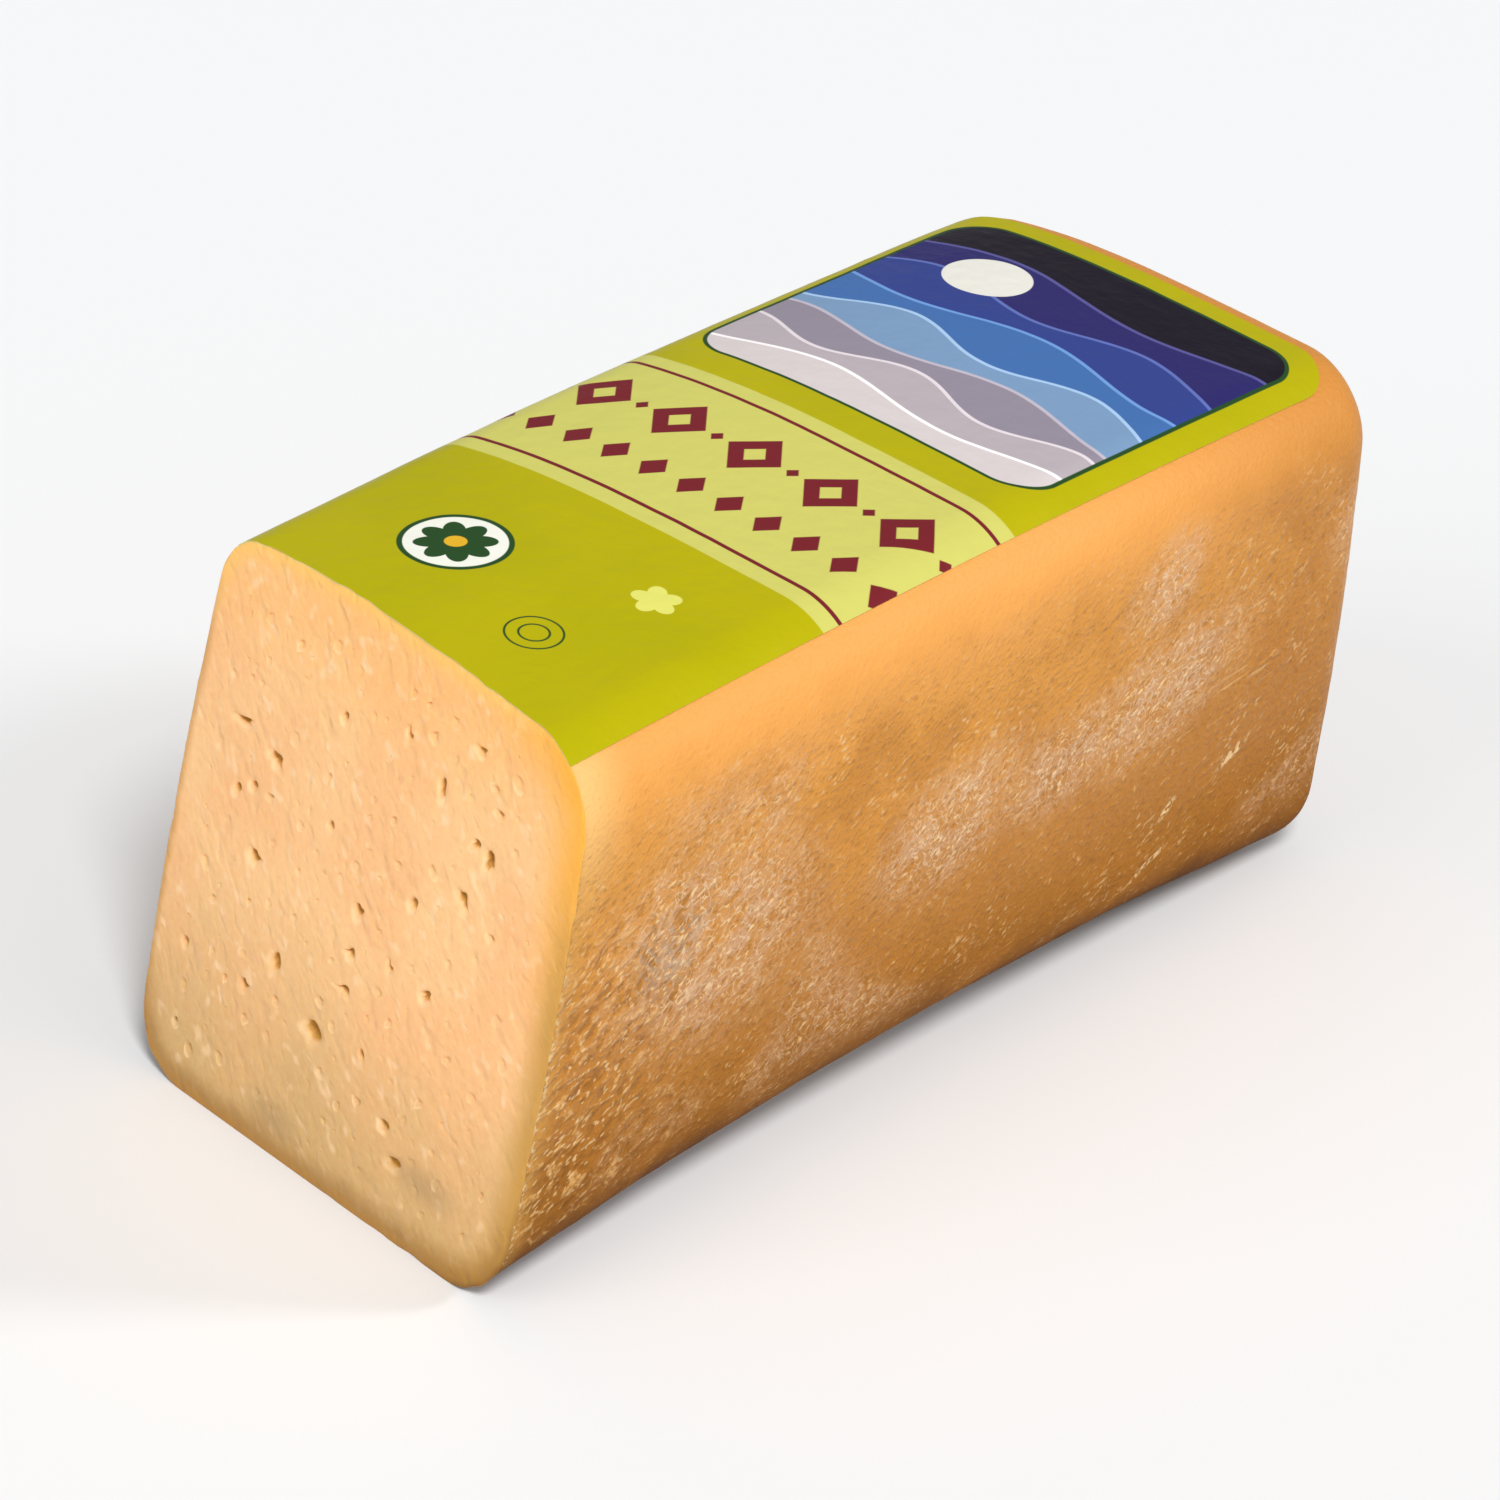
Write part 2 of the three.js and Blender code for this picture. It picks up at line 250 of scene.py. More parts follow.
def plain_outline(share):
    """The plain rounded square, anticlockwise from the middle of its lower right corner's arc."""
    lower_right = LOWER_RIGHT_RADIUS + LOWER_RIGHT_EXTRA * mid_length(share)
    corners = [
        (HALF - lower_right, lower_right, lower_right),
        (HALF - UPPER_RIGHT_RADIUS, HEIGHT - UPPER_RIGHT_RADIUS, UPPER_RIGHT_RADIUS),
        (UPPER_LEFT_RADIUS - HALF, HEIGHT - UPPER_LEFT_RADIUS, UPPER_LEFT_RADIUS),
        (LOWER_LEFT_RADIUS - HALF, LOWER_LEFT_RADIUS, LOWER_LEFT_RADIUS),
    ]
    parts = []
    for number, (x, z, radius) in enumerate(corners):
        next_x, next_z, next_radius = corners[(number + 1) % 4]
        facing = math.radians(90 * number)  # the way the side between the two corners faces
        out = np.array([math.cos(facing), math.sin(facing)])
        leave = np.array([x, z]) + radius * out
        arrive = np.array([next_x, next_z]) + next_radius * out
        first, last = radius * math.pi / 4, next_radius * math.pi / 4
        straight = np.linalg.norm(arrive - leave)
        for run in np.linspace(0, first + straight + last, SIDE_STEPS, endpoint=False):
            if run < first:
                angle = facing - (first - run) / radius
                parts.append((x + radius * math.cos(angle), z + radius * math.sin(angle)))
            elif run < first + straight:
                parts.append(leave + (arrive - leave) * (run - first) / straight)
            else:
                angle = facing + (run - first - straight) / next_radius
                parts.append((next_x + next_radius * math.cos(angle), next_z + next_radius * math.sin(angle)))
    return np.array(parts).T


def drawn_in(radius, y):
    run = min(max((y - (LENGTH - radius)) / radius, 0), 1)
    return radius * (1 - math.sqrt(1 - run**2))


def side_ring(share):
    x, z = plain_outline(share * STRAIGHT / LENGTH)
    start = start_y(x, z)
    return loaf_point(x, start + (STRAIGHT - start) * share, z)


def end_ring(y):
    x, z = plain_outline(y / LENGTH)
    ring = loaf_point(x, y, z)
    drawn_across = np.where(ring[:, 0] > 0, drawn_in(END_RIGHT_RADIUS, y), drawn_in(END_LEFT_RADIUS, y))
    ring[:, 0] *= 1 - drawn_across / HALF
    draw_up = 1 - drawn_in(END_EDGE_RADIUS, y) / MIDDLE_HEIGHT
    ring[:, 2] = MIDDLE_HEIGHT + (ring[:, 2] - MIDDLE_HEIGHT) * draw_up
    return ring


def fill_ring(ring):
    """A square grid of x and z that fills a ring of four curved sides, with the ring as its border."""
    steps = SIDE_STEPS
    flat = ring[:, [0, 2]]
    right = flat[: steps + 1]
    top = flat[steps : 2 * steps + 1][::-1]
    left = flat[2 * steps : 3 * steps + 1][::-1]
    bottom = np.vstack([flat[3 * steps :], flat[:1]])
    across = np.linspace(0, 1, steps + 1)[:, None, None]
    up = np.linspace(0, 1, steps + 1)[None, :, None]
    between_rows = (1 - up) * bottom[:, None] + up * top[:, None]
    between_columns = (1 - across) * left[None] + across * right[None]
    corners = (
        (1 - across) * (1 - up) * bottom[0]
        + across * (1 - up) * bottom[-1]
        + (1 - across) * up * top[0]
        + across * up * top[-1]
    )
    return between_rows + between_columns - corners


# ---- unevenness


def noise_field(seed):
    """A smooth seeded noise from -1 to 1, of points and of the size of its lumps."""
    cells = 64
    table = np.random.default_rng(seed).uniform(-1, 1, (cells, cells, cells))

    def at(points, size):
        place = points / size
        cell = np.floor(place).astype(int)
        part = place - cell
        part = part * part * (3 - 2 * part)
        total = np.zeros(len(points))
        for corner in product((0, 1), repeat=3):
            weight = np.prod(np.where(corner, part, 1 - part), axis=1)
            total += weight * table[tuple(((cell + corner) % cells).T)]
        return total

    return at


LUMPS = noise_field(seed=3)
WRINKLES = noise_field(seed=11)


def ease(low, high, value):
    """A smooth step from low to high, whichever is larger."""
    part = np.clip((value - low) / (high - low), 0, 1)
    return part * part * (3 - 2 * part)


def dips(noise, points, depth, size):
    """Smooth dips of up to this depth and about this width."""
    return depth * (0.5 + 0.5 * noise(points, size))


def skin_dip(points):
    """How far the skin dips below the smooth loaf at each point."""
    x, y, z = points.T
    uneven = dips(LUMPS, points, UNEVEN_DEPTH, UNEVEN_SIZE)
    slanted = np.stack([x, (y + SLANT * z) * SLANT_STRETCH, z - SLANT * y], axis=1)
    ripple = dips(WRINKLES, slanted, RIPPLE_DEPTH, RIPPLE_SIZE)
    crease = CREASE_DEPTH * np.abs(WRINKLES(slanted + CREASE_OFFSET, CREASE_SIZE))
    crumpled = 1 + CRUMPLE * ease(*CRUMPLE_BEHIND, y) * ease(*CRUMPLE_FOOT, z)
    calm_top = 1 - CALM_TOP * ease(*CALM_TOP_HEIGHTS, z)
    pebbled = ease(*PEBBLE_BEHIND, y) * ease(*PEBBLE_FOOT, z) * ease(*PEBBLE_TOP, z) * ease(*PEBBLE_ACROSS, x)
    pebbles = dips(WRINKLES, slanted + PEBBLE_OFFSET, PEBBLE_DEPTH, PEBBLE_SIZE)
    dip = uneven + (ripple + crease * crumpled) * calm_top + pebbles * pebbled
    for dent_y, dent_z, radius, depth in SIDE_DENTS:
        away = np.hypot(y - dent_y, (z - dent_z) * SIDE_DENT_STRETCH) / radius
        dip += np.where(x > 0, depth * np.exp(-(away**2)), 0)
    return dip * ease(*BASE_FLAT, z)


def cut_dip(points):
    """How far the cut face lies behind its smooth shape."""
    x, y, z = points.T
    drawn = np.stack([x * RIDGE_STRETCH, 0 * y, z + RIDGE_TILT * x], axis=1)
    return dips(LUMPS, drawn, RIDGE_DEPTH, RIDGE_SIZE) + dips(LUMPS, points, CUT_DEPTH, CUT_SIZE)


# ---- meshes


def mesh_object(name, points, faces, attributes):
    mesh = bpy.data.meshes.new(name)
    mesh.from_pydata((points * MM).tolist(), [], faces)
    mesh.validate()
    for key, values in attributes.items():
        add_attribute(mesh, key, values)
    piece = bpy.data.objects.new(name, mesh)
    bpy.context.scene.collection.objects.link(piece)
    return piece


def add_attribute(mesh, key, values):
    values = np.asarray(values, dtype=np.float32)
    kind, field = ("FLOAT_VECTOR", "vector") if values.ndim == 2 else ("FLOAT", "value")
    layer = mesh.attributes.get(key) or mesh.attributes.new(key, kind, "POINT")
    layer.data.foreach_set(field, values.ravel())


def read_attribute(mesh, key):
    values = np.zeros(len(mesh.vertices), dtype=np.float32)
    mesh.attributes[key].data.foreach_get("value", values)
    return values


def read_vectors(rows, field):
    values = np.zeros(len(rows) * 3, dtype=np.float32)
    rows.foreach_get(field, values)
    return values.reshape(-1, 3).astype(float)


def quads(*corners):
    """Faces from four grids of indices, one for each corner."""
    return np.stack(corners, axis=-1).reshape(-1, 4).tolist()


def write_points(mesh, points):
    mesh.vertices.foreach_set("co", (points * MM).astype(np.float32).ravel())
    mesh.update()


def smooth_shading(mesh):
    mesh.shade_smooth()
    mesh.set_sharp_from_angle(angle=SHARP_ANGLE)


# ---- the cheese


def loaf_rings():
    behind = [distance / STRAIGHT for distance in RIM_ROWS]
    near = np.linspace(0, NEAR_SHARE, NEAR_ROWS + 1)
    far = np.linspace(NEAR_SHARE, 1, FAR_ROWS + 1)[1:]
    shares = [0, *behind, *near[near > behind[-1] * 1.5], *far]
    rings = [side_ring(share) for share in shares]
    for row in range(1, END_ROWS + 1):
        rings.append(end_ring(STRAIGHT + END_RUN * math.sin(math.pi / 2 * row / END_ROWS)))
    return rings


def cap_faces(ring_start, inner_start):
    """Quads over the grid that fills a ring, whose inner points are stored line by line."""
    inner = SIDE_STEPS - 1
    grid = np.zeros((SIDE_STEPS + 1, SIDE_STEPS + 1), dtype=int)
    grid[1:-1, 1:-1] = inner_start + np.arange(inner**2).reshape(inner, inner)
    ring = ring_start + np.arange(4 * SIDE_STEPS).reshape(4, SIDE_STEPS)
    grid[-1, :-1], grid[:0:-1, -1], grid[0, :0:-1], grid[:-1, 0] = ring
    return quads(grid[:-1, :-1], grid[1:, :-1], grid[1:, 1:], grid[:-1, 1:])


def smooth_block():
    """The loaf's closed skin without its unevenness, and which of its points belong to the cut."""
    rings = loaf_rings()
    count = len(rings[0])
    cut, end = [fill_ring(ring)[1:-1, 1:-1].reshape(-1, 2).T for ring in (rings[0], rings[-1])]
    place = np.linspace(-1, 1, SIDE_STEPS + 1)[1:-1]
    dome = END_DOME * np.outer(1 - place**2, 1 - place**2).ravel()
    cut_points = np.stack([cut[0], cut_y(*cut), cut[1]], axis=1)
    end_points = np.stack([end[0], LENGTH + dome, end[1]], axis=1)
    points = np.vstack([*rings, cut_points, end_points])
    inner = len(rings) * count
    here = np.arange(inner).reshape(-1, count)
    beside = np.roll(here, -1, axis=1)
    faces = quads(here[:-1], here[1:], beside[1:], beside[:-1])
    faces += cap_faces(0, inner)
    faces += [quad[::-1] for quad in cap_faces(inner - count, inner + len(cut_points))]
    on_cut = np.zeros(len(points))
    on_cut[:count] = 1
    on_cut[inner : inner + len(cut_points)] = 1
    return points, faces, on_cut


def cut_face(x, z):
    """Where the cut face lies, with its knife marks."""
    smooth = cut_y(x, z)
    return smooth + cut_dip(np.stack([x, smooth, z], axis=-1).reshape(-1, 3)).reshape(np.shape(x))


def dent(x, z, width, height, depth, tilt, directions, rings, seed):
    """A closed solid that presses a dent into the cut face, soft at its rim and deepest at its upper right.

    Also tells how much each point belongs to the dent's lower left lip, where a highlight is painted.
    """
    angle = np.linspace(0, 2 * math.pi, directions, endpoint=False)
    around = np.stack([np.cos(angle), np.sin(angle), np.full(directions, seed * DENT_OFFSET)], axis=1)
    rim = around[:, :2] * (1 + DENT_LUMPS * LUMPS(around, DENT_LUMP_SIZE))[:, None]
    share = np.array(rings)[:, None, None]
    flat = np.array(DENT_LEAN) * (1 - share) + rim * share
    flat = np.vstack([[DENT_LEAN], flat.reshape(-1, 2), rim, [[0, 0]]]) * [width / 2, height / 2]
    turn = math.radians(tilt)
    place_x = x + flat[:, 0] * math.cos(turn) - flat[:, 1] * math.sin(turn)
    place_z = z + flat[:, 0] * math.sin(turn) + flat[:, 1] * math.cos(turn)
    reach = np.concatenate([[0], np.repeat(share.ravel(), directions)])
    core = ease(DENT_CORE[1], DENT_CORE[0], reach)
    pressed = depth * (DENT_SAUCER * (1 - reach**2) ** DENT_SOFTNESS + (1 - DENT_SAUCER) * core) - DENT_RIM
    behind = np.concatenate([pressed, np.full(directions + 1, -DENT_ROOF)])
    towards = np.concatenate([[0], np.tile(np.clip(-rim.sum(axis=1), 0, 1), len(rings))])
    lip_highlight = towards * ease(*LIP_HIGHLIGHT_INNER, reach) * ease(*LIP_HIGHLIGHT_OUTER, reach)
    points = np.stack([place_x, cut_face(place_x, place_z) + behind, place_z], axis=1)
    return points, np.concatenate([lip_highlight, np.zeros(directions + 1)])


def dent_faces(directions, steps):
    """Its first point is the dent's middle and its last one the middle of the roof."""
    roof = 1 + (steps + 1) * directions
    faces = []
    for spoke in range(directions):
        after = (spoke + 1) % directions
        faces.append((0, 1 + after, 1 + spoke))
        for row in range(steps):
            inner, outer = 1 + row * directions, 1 + (row + 1) * directions
            faces.append((inner + spoke, inner + after, outer + after, outer + spoke))
        last = 1 + steps * directions
        faces.append((roof, last + spoke, last + after))
    return faces


def scattered_pits(outline, random):
    """Places and sizes of the small pits, clear of the rind and of each other."""
    pits = []
    taken = [(x, z, max(width, height) * EYE_SPREAD[0]) for x, z, width, height, _ in LARGE_EYES]
    for _ in range(PIT_TRIES):
        x, z = random.uniform(-HALF, HALF), random.uniform(0, HEIGHT)
        width = random.uniform(*PIT_WIDTH)
        height = width * random.uniform(*PIT_STRETCH)
        depth, tilt = random.uniform(*PIT_DEPTH) * width, random.normal(*PIT_TILT)
        size = max(width, height)
        margin = PIT_MARGIN + size / 2
        if np.hypot(outline[:, 0] - x, outline[:, 1] - z).min() < margin:
            continue
        if abs(x) > HALF - margin or not margin < z < HEIGHT - margin:
            continue
        gaps = [math.hypot(x - other_x, z - other_z) / (size + other) for other_x, other_z, other in taken]
        if min(gaps) > PIT_SPACING:
            pits.append((x, z, width, height, depth, tilt, PIT_DIRECTIONS, PIT_RINGS))
            taken.append((x, z, size))
    return pits


def eye_cutters(outline):
    """Two cutters, because dents in one may not overlap."""
    eyes = []
    for x, z, width, height, tilt in LARGE_EYES:
        deep = EYE_DEPTH * (width + height) / 2
        wide, high = width * EYE_SPREAD[0], height * EYE_SPREAD[1]
        eyes.append((x, z, wide, high, deep, tilt, EYE_DIRECTIONS, EYE_RINGS))
    pits = scattered_pits(outline, np.random.default_rng(PIT_SEED))
    return [dents_object(eyes[::2] + pits), dents_object(eyes[1::2])]


def dents_object(shapes):
    points, lip_highlights, faces, start = [], [], [], 0
    for seed, shape in enumerate(shapes):
        *_, directions, rings = shape
        dent_points, lip_highlight = dent(*shape, seed)
        points.append(dent_points)
        lip_highlights.append(lip_highlight)
        faces += [[start + index for index in face] for face in dent_faces(directions, len(rings))]
        start += len(dent_points)
    points = np.vstack(points)
    ones = np.ones(len(points))
    attributes = {"on_cut": ones, "in_eye": ones, "lip_highlight": np.concatenate(lip_highlights)}
    return mesh_object("eye_cutter", points, faces, attributes)


def scoop(piece, cutter):
    """Takes the cutter's shape out of the piece."""
    step = piece.modifiers.new("eyes", "BOOLEAN")
    step.operation = "DIFFERENCE"
    step.solver = "MANIFOLD"
    step.object = cutter
    evaluated = piece.evaluated_get(bpy.context.evaluated_depsgraph_get())
    mesh = bpy.data.meshes.new_from_object(evaluated)
    piece.modifiers.clear()
    piece.data = mesh
    bpy.data.objects.remove(cutter)


def place_shift():
    """From the loaf's own frame to the model's, whose origin is in the middle under the block."""
    across = np.vstack(loaf_rings())[:, 0]
    low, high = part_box("cheese")
    shift_x = (low[0] + high[0]) / 2 / MM - (across.min() + across.max()) / 2
    return np.array([shift_x, high[1] / MM - (LENGTH + END_DOME), low[2] / MM])


SHIFT = place_shift()


def make_cheese():
    points, faces, on_cut = smooth_block()
    ring = points[: 4 * SIDE_STEPS]
    outline = ring[:, [0, 2]]
    zeros = np.zeros(len(points))
    piece = mesh_object("cheese_block", points, faces, {"on_cut": on_cut, "in_eye": zeros, "lip_highlight": zeros})
    normals = read_vectors(piece.data.vertex_normals, "vector")
    skin = on_cut < 0.5
    dip = np.where(skin, skin_dip(points), cut_dip(points))
    inwards = np.where(skin[:, None], -normals, [0, 1, 0])
    moved = points + inwards * dip[:, None]
    rim = slice(0, len(ring))
    crumbled = RIM_CRUMBLE * ease(*RIM_CRUMBLE_NOISE, WRINKLES(ring, RIM_CRUMBLE_SIZE))
    moved[rim] = ring + np.outer(RIM_CHAMFER + crumbled * ease(*RIM_CRUMBLE_ACROSS, ring[:, 0]), [0, 1, 0])
    moved[rim] -= normals[rim] * skin_dip(ring)[:, None] * [1, 0, 1]
    write_points(piece.data, moved)
    for cutter in eye_cutters(outline):
        scoop(piece, cutter)
    finish_cheese(piece.data, outline)
    return piece


def finish_cheese(mesh, outline):
    """Tells the material how far points lie from the rind and behind the cut, and how deep in an eye."""
    points = read_vectors(mesh.vertices, "co") / MM
    behind = points[:, 1] - cut_y(points[:, 0], points[:, 2])
    depth = points[:, 1] - cut_face(points[:, 0], points[:, 2])
    rim = np.zeros(len(points))
    near_cut = points[:, 1] < NEAR_CUT
    places = points[near_cut][:, [0, 2]]
    rim[near_cut] = np.array([np.hypot(*(outline - place).T).min() for place in places])
    in_face = (rim > EYE_CLEARANCE) & (behind < 2 * EYE_CLEARANCE)
    add_attribute(mesh, "rim_mm", rim)
    add_attribute(mesh, "eye_mm", np.clip(depth, 0, DEEPEST) * read_attribute(mesh, "in_eye"))
    add_attribute(mesh, "behind_mm", behind)
    add_attribute(mesh, "on_cut", np.where(in_face, 1, read_attribute(mesh, "on_cut")))
    write_points(mesh, points + SHIFT)
    smooth_shading(mesh)


# ---- the label


def plain_top(x):
    radius = np.where(x > 0, UPPER_RIGHT_RADIUS, UPPER_LEFT_RADIUS)
    past = np.maximum(0, np.abs(x) - (HALF - radius))
    return HEIGHT - radius + np.sqrt(radius**2 - past**2)


def above_top(x, y, distance):
    """The points this far above the skin's top."""
    step = 0.01
    here = loaf_point(x, y, plain_top(x))
    across = loaf_point(x + step, y, plain_top(x + step)) - here
    along = loaf_point(x, y + step, plain_top(x)) - here
    normal = np.cross(across, along)
    normal /= np.linalg.norm(normal, axis=-1, keepdims=True)
    return here + normal * (distance - skin_dip(here.reshape(-1, 3)).reshape(x.shape))[..., None]


def label_half_width(y):
    past = np.maximum(0, y - (LABEL_BACK - LABEL_CORNER_RADIUS))
    radius = LABEL_CORNER_RADIUS
    return LABEL_WIDTH / 2 - radius + np.sqrt(np.maximum(0, radius**2 - past**2))


def label_grid():
    """Across and along, in the loaf's frame, for each point of the label."""
    corner_share = LABEL_CORNER_RADIUS / LABEL_BACK
    shares = list(np.linspace(0, 1 - corner_share, LABEL_ROWS + 1))
    for row in range(1, LABEL_CORNER_ROWS + 1):
        shares.append(1 - corner_share * (1 - math.sin(math.pi / 2 * row / LABEL_CORNER_ROWS)))
    shares = np.array(shares)[:, None]
    half = label_half_width(shares * LABEL_BACK)
    x = LABEL_SHIFT + half * np.linspace(-1, 1, LABEL_COLUMNS + 1)[None]
    front = start_y(x, plain_top(x))
    return x, front + (LABEL_BACK - front) * shares


def sheet_faces(rows, columns):
    """Quads of a closed sheet, whose lower points are stored row by row before its upper ones."""
    under, over = np.arange(2 * rows * columns).reshape(2, rows, columns)
    return [
        *quads(over[:-1, :-1], over[:-1, 1:], over[1:, 1:], over[1:, :-1]),
        *quads(under[:-1, :-1], under[1:, :-1], under[1:, 1:], under[:-1, 1:]),
        *quads(under[1:, 0], under[:-1, 0], over[:-1, 0], over[1:, 0]),
        *quads(under[:-1, -1], under[1:, -1], over[1:, -1], over[:-1, -1]),
        *quads(under[0, :-1], under[0, 1:], over[0, 1:], over[0, :-1]),
        *quads(under[-1, 1:], under[-1, :-1], over[-1, :-1], over[-1, 1:]),
    ]


def make_label():
    x, y = label_grid()
    flat = np.stack([x, y, 0 * x], axis=-1).reshape(-1, 3)
    puckers = dips(LUMPS, flat * PUCKER_STRETCH, PUCKER_DEPTH, PUCKER_SIZE)
    puckers = (puckers + dips(WRINKLES, flat, CRINKLE_DEPTH, CRINKLE_SIZE)).reshape(x.shape)
    lower = above_top(x, y, PAPER_LIFT + puckers)
    upper = above_top(x, y, PAPER_LIFT + PAPER_THICKNESS + puckers)
    ragged = RAGGED_DEPTH * WRINKLES(np.stack([x[0], 0 * x[0], 0 * x[0]], axis=1), RAGGED_SIZE)
    for sheet in (lower, upper):
        sheet[0, :, 1] += RAGGED_DEPTH + ragged
    points = np.vstack([lower.reshape(-1, 3), upper.reshape(-1, 3)])
    place = np.stack([x - LABEL_SHIFT, LABEL_BACK - y, 0 * x], axis=-1).reshape(-1, 3)
    side = np.concatenate([np.zeros(x.size), np.ones(x.size)])
    attributes = {"print_mm": np.vstack([place, place]), "upper_side": side}
    piece = mesh_object("label_sheet", points + SHIFT, sheet_faces(*x.shape), attributes)
    smooth_shading(piece.data)
    return piece


# ---- materials


def srgb(red, green, blue):
    """A colour as seen on a screen, 0 to 255, as the linear colour that shaders take."""
    values = []
    for level in (red / 255, green / 255, blue / 255):
        values.append(level / 12.92 if level <= 0.04045 else ((level + 0.055) / 1.055) ** 2.4)
    return (*values, 1)


class Look:
    """A material that is put together from nodes. Its x, y and z are in millimetres."""

    def __init__(self, name):
        self.material = bpy.data.materials.new(name)
        self.material.use_nodes = True
        self.tree = self.material.node_tree
        self.tree.nodes.clear()
        self.position = self.node("ShaderNodeTexCoord").outputs["Object"]
        self.x, self.y, self.z = self.split(self.vector_math("DIVIDE", self.position, (MM, MM, MM)))

    def put(self, socket, value):
        if isinstance(value, bpy.types.NodeSocket):
            self.tree.links.new(value, socket)
        else:
            socket.default_value = value

    def node(self, kind, inputs=(), **settings):
        node = self.tree.nodes.new(kind)
        for key, value in settings.items():
            setattr(node, key, value)
        for key, value in dict(inputs).items():
            self.put(node.inputs[key], value)
        return node

    def math(self, operation, *values):
        return self.node("ShaderNodeMath", enumerate(values), operation=operation).outputs[0]

    def vector_math(self, operation, *values):
        node = self.node("ShaderNodeVectorMath", enumerate(values), operation=operation)
        return node.outputs["Value" if operation == "LENGTH" else "Vector"]

    def times(self, *values):
        return reduce(lambda total, value: self.math("MULTIPLY", total, value), values)

    def plus(self, *values):
        return reduce(lambda total, value: self.math("ADD", total, value), values)

    def most(self, *values):
        return reduce(lambda total, value: self.math("MAXIMUM", total, value), values)

    def less(self, value):
        return self.math("SUBTRACT", 1, value)

    def apart(self, first, second):
        return self.math("ABSOLUTE", self.math("SUBTRACT", first, second))

    def diagonal(self, first, second):
        return self.math("SQRT", self.plus(self.times(first, first), self.times(second, second)))

    def weighted(self, values, weights, rest=0):
        """The values times their weights, added up with the rest."""
        return self.plus(*map(self.times, values, weights), rest)

    def ramp(self, value, low, high, to_low=0, to_high=1):
        """A smooth step from low to high, whichever is larger."""
        inputs = {"Value": value, "From Min": low, "From Max": high, "To Min": to_low, "To Max": to_high}
        return self.node("ShaderNodeMapRange", inputs, interpolation_type="SMOOTHSTEP").outputs["Result"]

    def mix(self, factor, first, second):
        inputs = [(0, factor), (6, first), (7, second)]
        return self.node("ShaderNodeMix", inputs, data_type="RGBA").outputs[2]

    def layered(self, colour, *layers):
        """The colour with others laid over it in order, each covering as much as its factor says."""
        for factor, layer in layers:
            colour = self.mix(factor, colour, layer)
        return colour

    def blend(self, factor, first, second):
        inputs = [(0, factor), (2, first), (3, second)]
        return self.node("ShaderNodeMix", inputs, data_type="FLOAT").outputs[0]

    def gradient(self, value, stops):
        """Colours along a value from 0 to 1."""
        node = self.node("ShaderNodeValToRGB", {"Fac": value})
        elements = node.color_ramp.elements
        while len(elements) < len(stops):
            elements.new(0.5)
        for element, (place, colour) in zip(elements, stops):
            element.position = place
            element.color = colour
        return node.outputs["Color"]

    def attribute(self, name, output="Fac"):
        return self.node("ShaderNodeAttribute", attribute_name=name).outputs[output]

    def split(self, vector):
        return self.node("ShaderNodeSeparateXYZ", [(0, vector)]).outputs

    def mapped(self, scale, turn, place=(0, 0, 0)):
        """Places told in a box that is scaled, turned by angles in degrees and moved."""
        inputs = {
            "Vector": self.position,
            "Location": [length * MM for length in place],
            "Rotation": [math.radians(angle) for angle in turn],
            "Scale": scale,
        }
        return self.node("ShaderNodeMapping", inputs, vector_type="TEXTURE").outputs["Vector"]

    def strokes(self, stretch, rise):
        """Places for a pattern drawn out along slanted strokes on the rind."""
        return self.mapped((1, stretch, 1), (rise, 0, 0))

    def noise(self, size, detail=1, at=None, roughness=0.5):
        """Noise from 0 to 1 with lumps of this size."""
        inputs = {"Vector": at or self.position, "Scale": 1 / (size * MM), "Roughness": roughness}
        return self.node("ShaderNodeTexNoise", {**inputs, "Detail": detail}).outputs["Fac"]

    def patches(self, size, low, high, to_low=0, to_high=1, at=None, detail=1):
        """Soft-edged patches of this size, where noise rises from low to high."""
        return self.ramp(self.noise(size, detail, at), low, high, to_low, to_high)

    def folds(self, size, at=None):
        """0 along thin wandering lines, up to about 0.3 between them."""
        return self.apart(self.noise(size, at=at), 0.5)

    def spot(self, centre, radii, turn=0, soft=0.5):
        """1 in the middle of an egg-shaped region of the block and 0 outside it."""
        place = self.mapped([radius * MM for radius in radii], (turn, 0, 0), centre)
        return self.ramp(self.vector_math("LENGTH", place), 1 + soft, 1 - soft)

    def bump(self, height, depth):
        """Height from 0 to 1 stands for this depth."""
        inputs = {"Height": height, "Distance": depth * MM, "Strength": 1.0}
        return self.node("ShaderNodeBump", inputs).outputs["Normal"]

    def finish(self, **inputs):
        """The material with one surface. Its inputs' names have underscores for spaces."""
        named = {key.replace("_", " "): value for key, value in inputs.items()}
        surface = self.node("ShaderNodeBsdfPrincipled", named)
        self.node("ShaderNodeOutputMaterial", {"Surface": surface.outputs[0]})
        return self.material


# Marks on the right-hand side: the middle's y and z, the reach along and up, and the slope in degrees.
BLOOM_PATCHES = [
    (36, 62, 26, 19, -8),
    (24, 70, 12, 12, 0),
    (108, 60, 20, 11, 12),
    (145, 60, 18, 9, 10),
    (176, 64, 24, 11, 14),
    (172, 88, 12, 8, 34),
]
GREY_CENTRES = [(22, 62, 8, 8, 0), (31, 68, 4, 3, 0)]
SCRAPES = [(180, 22, 6, 0.8, 32), (183, 34, 3, 1, 40), (205, 39, 5, 1.2, 24)]
SCRATCHED = (196, 62, 24, 14, 0)
SCRATCH_RISE = 6  # degrees
SIDE_X, SIDE_REACH = 54, 16  # where the right-hand side lies and how far its marks reach from there
BLOOM_SOFTNESS = 0.6

